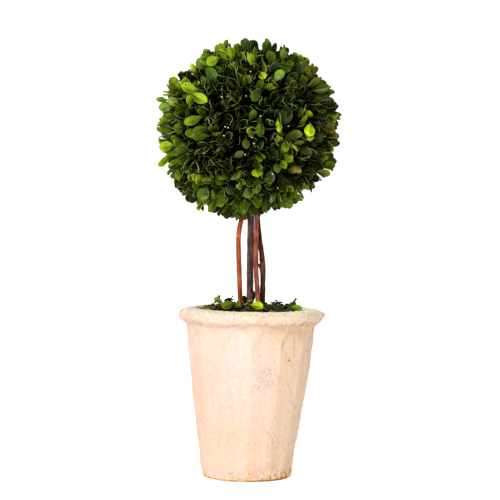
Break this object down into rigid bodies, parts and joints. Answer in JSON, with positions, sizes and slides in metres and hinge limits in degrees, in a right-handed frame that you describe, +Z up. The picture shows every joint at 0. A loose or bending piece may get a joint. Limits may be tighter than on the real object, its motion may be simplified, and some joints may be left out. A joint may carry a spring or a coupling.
{
  "type": "preserved box topiary ball in a terracotta pot",
  "caption": "Table-top topiary: a clipped ball of box foliage on slender bare stems, set in a tapered, fluted terracotta pot with a rolled lip.",
  "frame": {"origin": "middle of the pot's flat underside, on the surface it stands on", "axes": "+Z up, +X to the right and -Y to the front; the pot's axis leans to +X, and the bowed stem is at the right"},
  "size_m": [0.1889, 0.1866, 0.4556],
  "materials": {
    "terracotta": "pale limewashed terracotta, matte, with pink and rust blotches and a bare ochre foot",
    "filling": "dark foam and moss with loose box leaves on top",
    "bark_grey": "thin grey-brown bark",
    "bark_orange": "smooth orange-brown bark",
    "bark_red": "smooth red-brown bark",
    "bark_dark": "rough dark brown bark",
    "foliage": "glossy dark green box leaves with paler and lime ones among them"
  },
  "bodies": {
    "root": {"pot": "terracotta", "pot_fill": "filling", "stem_centre": "bark_grey", "stem_left": "bark_orange", "stem_right": "bark_red", "stem_bowed": "bark_dark", "foliage_ball": "foliage"}
  },
  "joints": []
}
